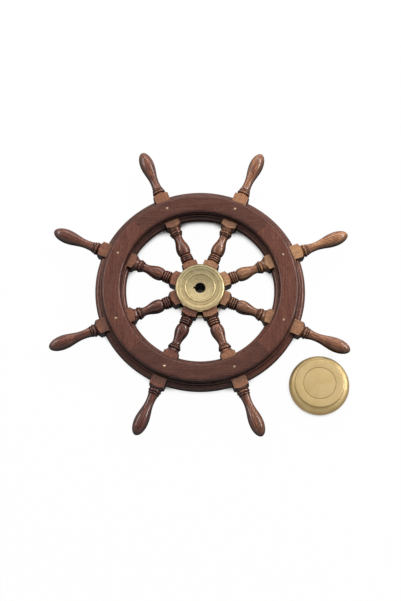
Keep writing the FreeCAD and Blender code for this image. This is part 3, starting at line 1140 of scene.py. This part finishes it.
@dataclass
class Screws:
    """The wheel's three sets of slotted brass screws."""

    count: int = 8
    first_angle: float = 22.5
    slot_share: float = 0.2
    slot_depth: float = 0.9
    slot_turn: float = 37.0
    softness: float = 0.12
    rim_head: float = 2.1
    rim_rise: float = 0.7
    rim_shank: float = 1.3
    rim_length: float = 24.0
    rim_circle: float = 166.8
    rim_height: float = 26.0
    hub_head: float = 4.2
    hub_shank: float = 2.0
    hub_length: float = 40.6
    hub_circle: float = 40.0
    hub_height: float = 22.0

    def screw(self, head: float, rise: float, shank: float, length: float) -> Piece:
        """Models one countersunk screw along Z, the edge of its head at the origin.

        Args:
            head: Radius of the head.
            rise: How far the head is domed.
            shank: Radius of the shank.
            length: Length from the edge of the head to the point.

        Returns:
            The screw, its slot along X.
        """
        line = Outline(0, rise)
        if rise:
            line.arc(head, 0, rise / 4)
        else:
            line.line(head, 0)
        line.line(shank, shank - head).line(shank, shank - length).line(0, -length)
        screw = turned("screw", line.softened(self.softness, closed=False), AXIS_Z, steps=40)
        slot = bar((2.2 * head, self.slot_share * 2 * head, 2 * self.slot_depth), (0, 0, rise))
        boolean(screw, slot, "DIFFERENCE")
        smooth(screw)
        return screw

    def ring(self, pattern: Piece, name: str, circle: float, height: float, side: Side) -> Piece:
        """Sets the screws on their circle, each slot left at an angle of its own.

        Args:
            pattern: One screw, which is used up.
            name: Name of the set.
            circle: Radius of the circle that they stand on.
            height: Height of the heads' edges, before a back set is turned over.
            side: The face that they are driven from.

        Returns:
            All the screws as one piece.
        """
        made = []
        back = side is Side.BACK
        for i in range(self.count):
            angle = self.first_angle + i * 360.0 / self.count
            x, y = circle * math.cos(math.radians(angle)), circle * math.sin(math.radians(angle))
            slot = angle + self.slot_turn * i * i
            made.append(copied(pattern, f"{name}_{i + 1}", slot, (x, y, -height if back else height), back))
        bpy.data.objects.remove(pattern)
        return joined(name, made)

    def build(self) -> None:
        """Models the front rim screws, the back rim screws and the hub screws."""
        brass = SCREW_BRASS.material()
        rim = (self.rim_shank, self.rim_length)
        hub = (self.hub_shank, self.hub_length)
        on_rim = (self.rim_circle, self.rim_height)
        sets = (
            ("rim_screws_front", (self.rim_head, self.rim_rise, *rim), on_rim, Side.FRONT),
            ("rim_screws_back", (self.rim_head, 0.0, *rim), on_rim, Side.BACK),
            ("hub_screws", (self.hub_head, 0.0, *hub), (self.hub_circle, self.hub_height), Side.BACK),
        )
        made = [(self.ring(self.screw(*shape), f"slotted_{node}", *where, side), node)
                for node, shape, where, side in sets]
        for piece, node in made:
            place(piece, brass, "screw_brass", node)


@dataclass
class HubCap:
    """The spun cap, hollow, lying face up beside the wheel."""

    wall: float = 1.5
    height: float = 28.5
    disc: float = 45.5
    disc_round: float = 2.4
    disc_rise: float = 5.4
    shoulder_width: float = 4.2
    shoulder_drop: float = 1.2
    belly_swell: float = 5.4
    lip: float = 46.4
    base_width: float = 4.2
    scribe: float = 29.6
    scribe_depth: float = 0.45
    softness: float = 0.5

    def build(self) -> None:
        """Models the cap at the origin, moves it to its CAD node's place and dresses it."""
        base = self.lip + self.base_width
        shoulder_height = self.height - self.disc_rise
        shoulder = self.disc + self.shoulder_width
        belly_top = shoulder_height - self.shoulder_drop
        under = self.height - self.wall
        inner_round = self.disc_round - self.wall
        line = Outline(0, self.height).line(self.scribe - self.scribe_depth, self.height)
        line.line(self.scribe, self.height - self.scribe_depth)
        line.line(self.scribe + self.scribe_depth, self.height)
        line.line(self.disc - self.disc_round, self.height)
        line.arc(self.disc, self.height - self.disc_round, self.disc_round * QUARTER_SWELL)
        line.line(self.disc, shoulder_height).line(shoulder, belly_top)
        line.arc(base, 0, self.belly_swell, steps=24)
        line.line(self.lip, 0).line(self.lip, self.wall).line(base - self.wall, self.wall)
        line.arc(shoulder - self.wall, belly_top - self.wall, self.wall - self.belly_swell, steps=18)
        line.line(self.disc - self.wall, shoulder_height - self.wall)
        line.line(self.disc - self.wall, under - inner_round)
        line.arc(self.disc - self.disc_round, under, -inner_round * QUARTER_SWELL).line(0, under)
        cap = turned("spun_hub_cap", line.softened(self.softness, closed=False), AXIS_Z, steps=160)
        low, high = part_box("hub_cap")
        centre = (low + high) / 2
        cap.location = (centre.x, centre.y, low.z)
        settle(cap)
        smooth(cap)
        finish = replace(CAP_BRASS, axis=(centre.x / MM, centre.y / MM))
        place(cap, finish.material(), "cap_brass", "hub_cap")


# Studio

@dataclass(frozen=True)
class Lamp:
    """A soft box that looks at the wheel: its place and size in metres, its power in watts."""

    name: str
    at: tuple[float, float, float]
    size: Point
    power: float
    mirrored: bool = True

    def build(self) -> None:
        """Adds the lamp, shown in reflections only where it is mirrored."""
        bpy.ops.object.light_add(type="AREA", location=self.at)
        lamp = bpy.context.active_object
        lamp.name = self.name
        lamp.data.shape = "RECTANGLE"
        lamp.data.size, lamp.data.size_y = self.size
        lamp.data.energy = self.power
        lamp.rotation_euler = Vector(self.at).to_track_quat("Z", "Y").to_euler()
        lamp.visible_glossy = self.mirrored


# The strips leave thin lines of light along the varnish, and the wide boxes light without a mirror image
LAMPS = (
    Lamp("soft box behind", (0.3, 2.1, 1.2), (1.8, 1.0), 26.0, mirrored=False),
    Lamp("strip light on the right", (1.85, 0.8, 1.3), (1.8, 0.36), 27.0),
    Lamp("strip light on the left", (-1.85, 0.8, 1.3), (1.8, 0.28), 14.0),
    Lamp("strip light behind", (0.3, 1.9, 1.3), (2.2, 0.26), 8.0),
    Lamp("wide soft box above", (0.0, 0.9, 2.5), (3.0, 3.0), 16.0, mirrored=False),
)


@dataclass
class Studio:
    """Pale floor, soft light from above and behind, and the camera at the photograph's angle."""

    focal_length: float = 88.07
    sensor: float = 36.0
    distance: float = 2737.8
    elevation: float = 71.664
    azimuth: float = 0.6
    target: Point = (0.6, -19.96)
    clip_end: float = 50.0
    floor_low: float = -26.0
    floor_size: float = 30.0
    floor_tone: float = 0.92
    floor_bounce: float = 0.1
    shadow_reach: float = 22.0
    shadow_samples: int = 16
    contact_shadow_fade: tuple[Point, ...] = ((0.36, 0.0), (0.64, 0.985), (0.48, 0.75))
    fill: float = 0.1
    ceiling: Point = (0.35, 0.85)
    front: Point = (0.4, -0.3)
    front_grey: Point = (0.15, 0.6)

    def camera(self) -> None:
        """Sets the camera where it was fitted to the wheel in the photograph."""
        swing, lift = math.radians(self.azimuth), math.radians(self.elevation)
        back = Vector((math.sin(swing) * math.cos(lift), -math.cos(swing) * math.cos(lift), math.sin(lift)))
        aim = Vector((self.target[0] * math.cos(swing) - self.target[1] * math.sin(swing),
                      self.target[0] * math.sin(swing) + self.target[1] * math.cos(swing), 0.0))
        bpy.ops.object.camera_add(location=(aim + back * self.distance) * MM)
        camera = bpy.context.active_object
        camera.name = "camera"
        camera.data.lens = self.focal_length
        camera.data.sensor_width = self.sensor
        camera.rotation_euler = (-back).to_track_quat("-Z", "Y").to_euler()
        camera.data.clip_end = self.clip_end
        bpy.context.scene.camera = camera

    def seen(self, tree: Tree) -> Socket:
        """One for rays that show the background, straight on, in a reflection or through glass."""
        path = add_node(tree, "ShaderNodeLightPath")
        shown = calc(tree, "MAXIMUM", path.outputs["Is Camera Ray"], path.outputs["Is Glossy Ray"])
        return calc(tree, "MAXIMUM", shown, path.outputs["Is Transmission Ray"])

    def world(self) -> None:
        """White walls and a grey ceiling where they are seen, and a low light on everything."""
        world = bpy.data.worlds.new("studio")
        world.use_nodes = True
        tree = world.node_tree
        tree.nodes.clear()
        generated = add_node(tree, "ShaderNodeTexCoord").outputs["Generated"]
        way = add_node(tree, "ShaderNodeSeparateXYZ", {0: generated})
        ceiling = mapped(tree, way.outputs[2], self.ceiling)
        front = mapped(tree, way.outputs[1], self.front, self.front_grey)
        level = calc(tree, "SUBTRACT", 1.0, calc(tree, "MULTIPLY", ceiling, front))
        fill = add_node(tree, "ShaderNodeBackground", {"Color": (1, 1, 1, 1), "Strength": self.fill})
        white = add_node(tree, "ShaderNodeBackground", {"Color": (1, 1, 1, 1), "Strength": level})
        seen = self.seen(tree)
        mix = add_node(tree, "ShaderNodeMixShader", {0: seen, 1: fill.outputs[0], 2: white.outputs[0]})
        add_node(tree, "ShaderNodeOutputWorld", {"Surface": mix.outputs[0]})
        bpy.context.scene.world = world

    def floor(self) -> None:
        """A pale floor with a light shadow near the wheel, where ambient occlusion fades its white glow, and
        white further out.
        """
        bpy.ops.object.select_all(action="DESELECT")
        bpy.ops.mesh.primitive_plane_add(size=self.floor_size, location=(0, 0, self.floor_low * MM))
        floor = bpy.context.active_object
        floor.name = "floor"
        material = bpy.data.materials.new("pale floor")
        material.use_nodes = True
        tree = material.node_tree
        tree.nodes.clear()
        seen = self.seen(tree)
        bounce, tone = ((level, level, level, 1) for level in (self.floor_bounce, self.floor_tone))
        paper = add_node(tree, "ShaderNodeBsdfDiffuse", {"Color": mixed(tree, seen, bounce, tone)})
        white = add_node(tree, "ShaderNodeEmission", {"Color": (1, 1, 1, 1), "Strength": 1.0})
        # Painted contact shadow: ambient occlusion fades the glow near the wheel and the paper's shading
        # shows
        shelter = openness(tree, self.shadow_reach, self.shadow_samples)
        share = calc(tree, "MULTIPLY", seen, ramp(tree, shelter, self.contact_shadow_fade))
        mix = add_node(tree, "ShaderNodeMixShader", {0: share, 1: paper.outputs[0], 2: white.outputs[0]})
        add_node(tree, "ShaderNodeOutputMaterial", {"Surface": mix.outputs[0]})
        floor.data.materials.append(material)

    def build(self) -> None:
        """Sets the camera, the world, the floor and the lamps."""
        self.camera()
        self.world()
        self.floor()
        for lamp in LAMPS:
            lamp.build()
        bpy.context.scene.view_settings.view_transform = "Standard"


def main() -> None:
    """Builds the sub-assemblies in order, from the wood to the brass and the studio."""
    logging.basicConfig(level=logging.INFO, format="%(name)s: %(message)s")
    for assembly in (Spokes(), Rings(), Felloes(), Hub(), Screws(), HubCap(), Studio()):
        assembly.build()
        log.info("%s done", type(assembly).__name__)


if __name__ == "__main__":
    main()
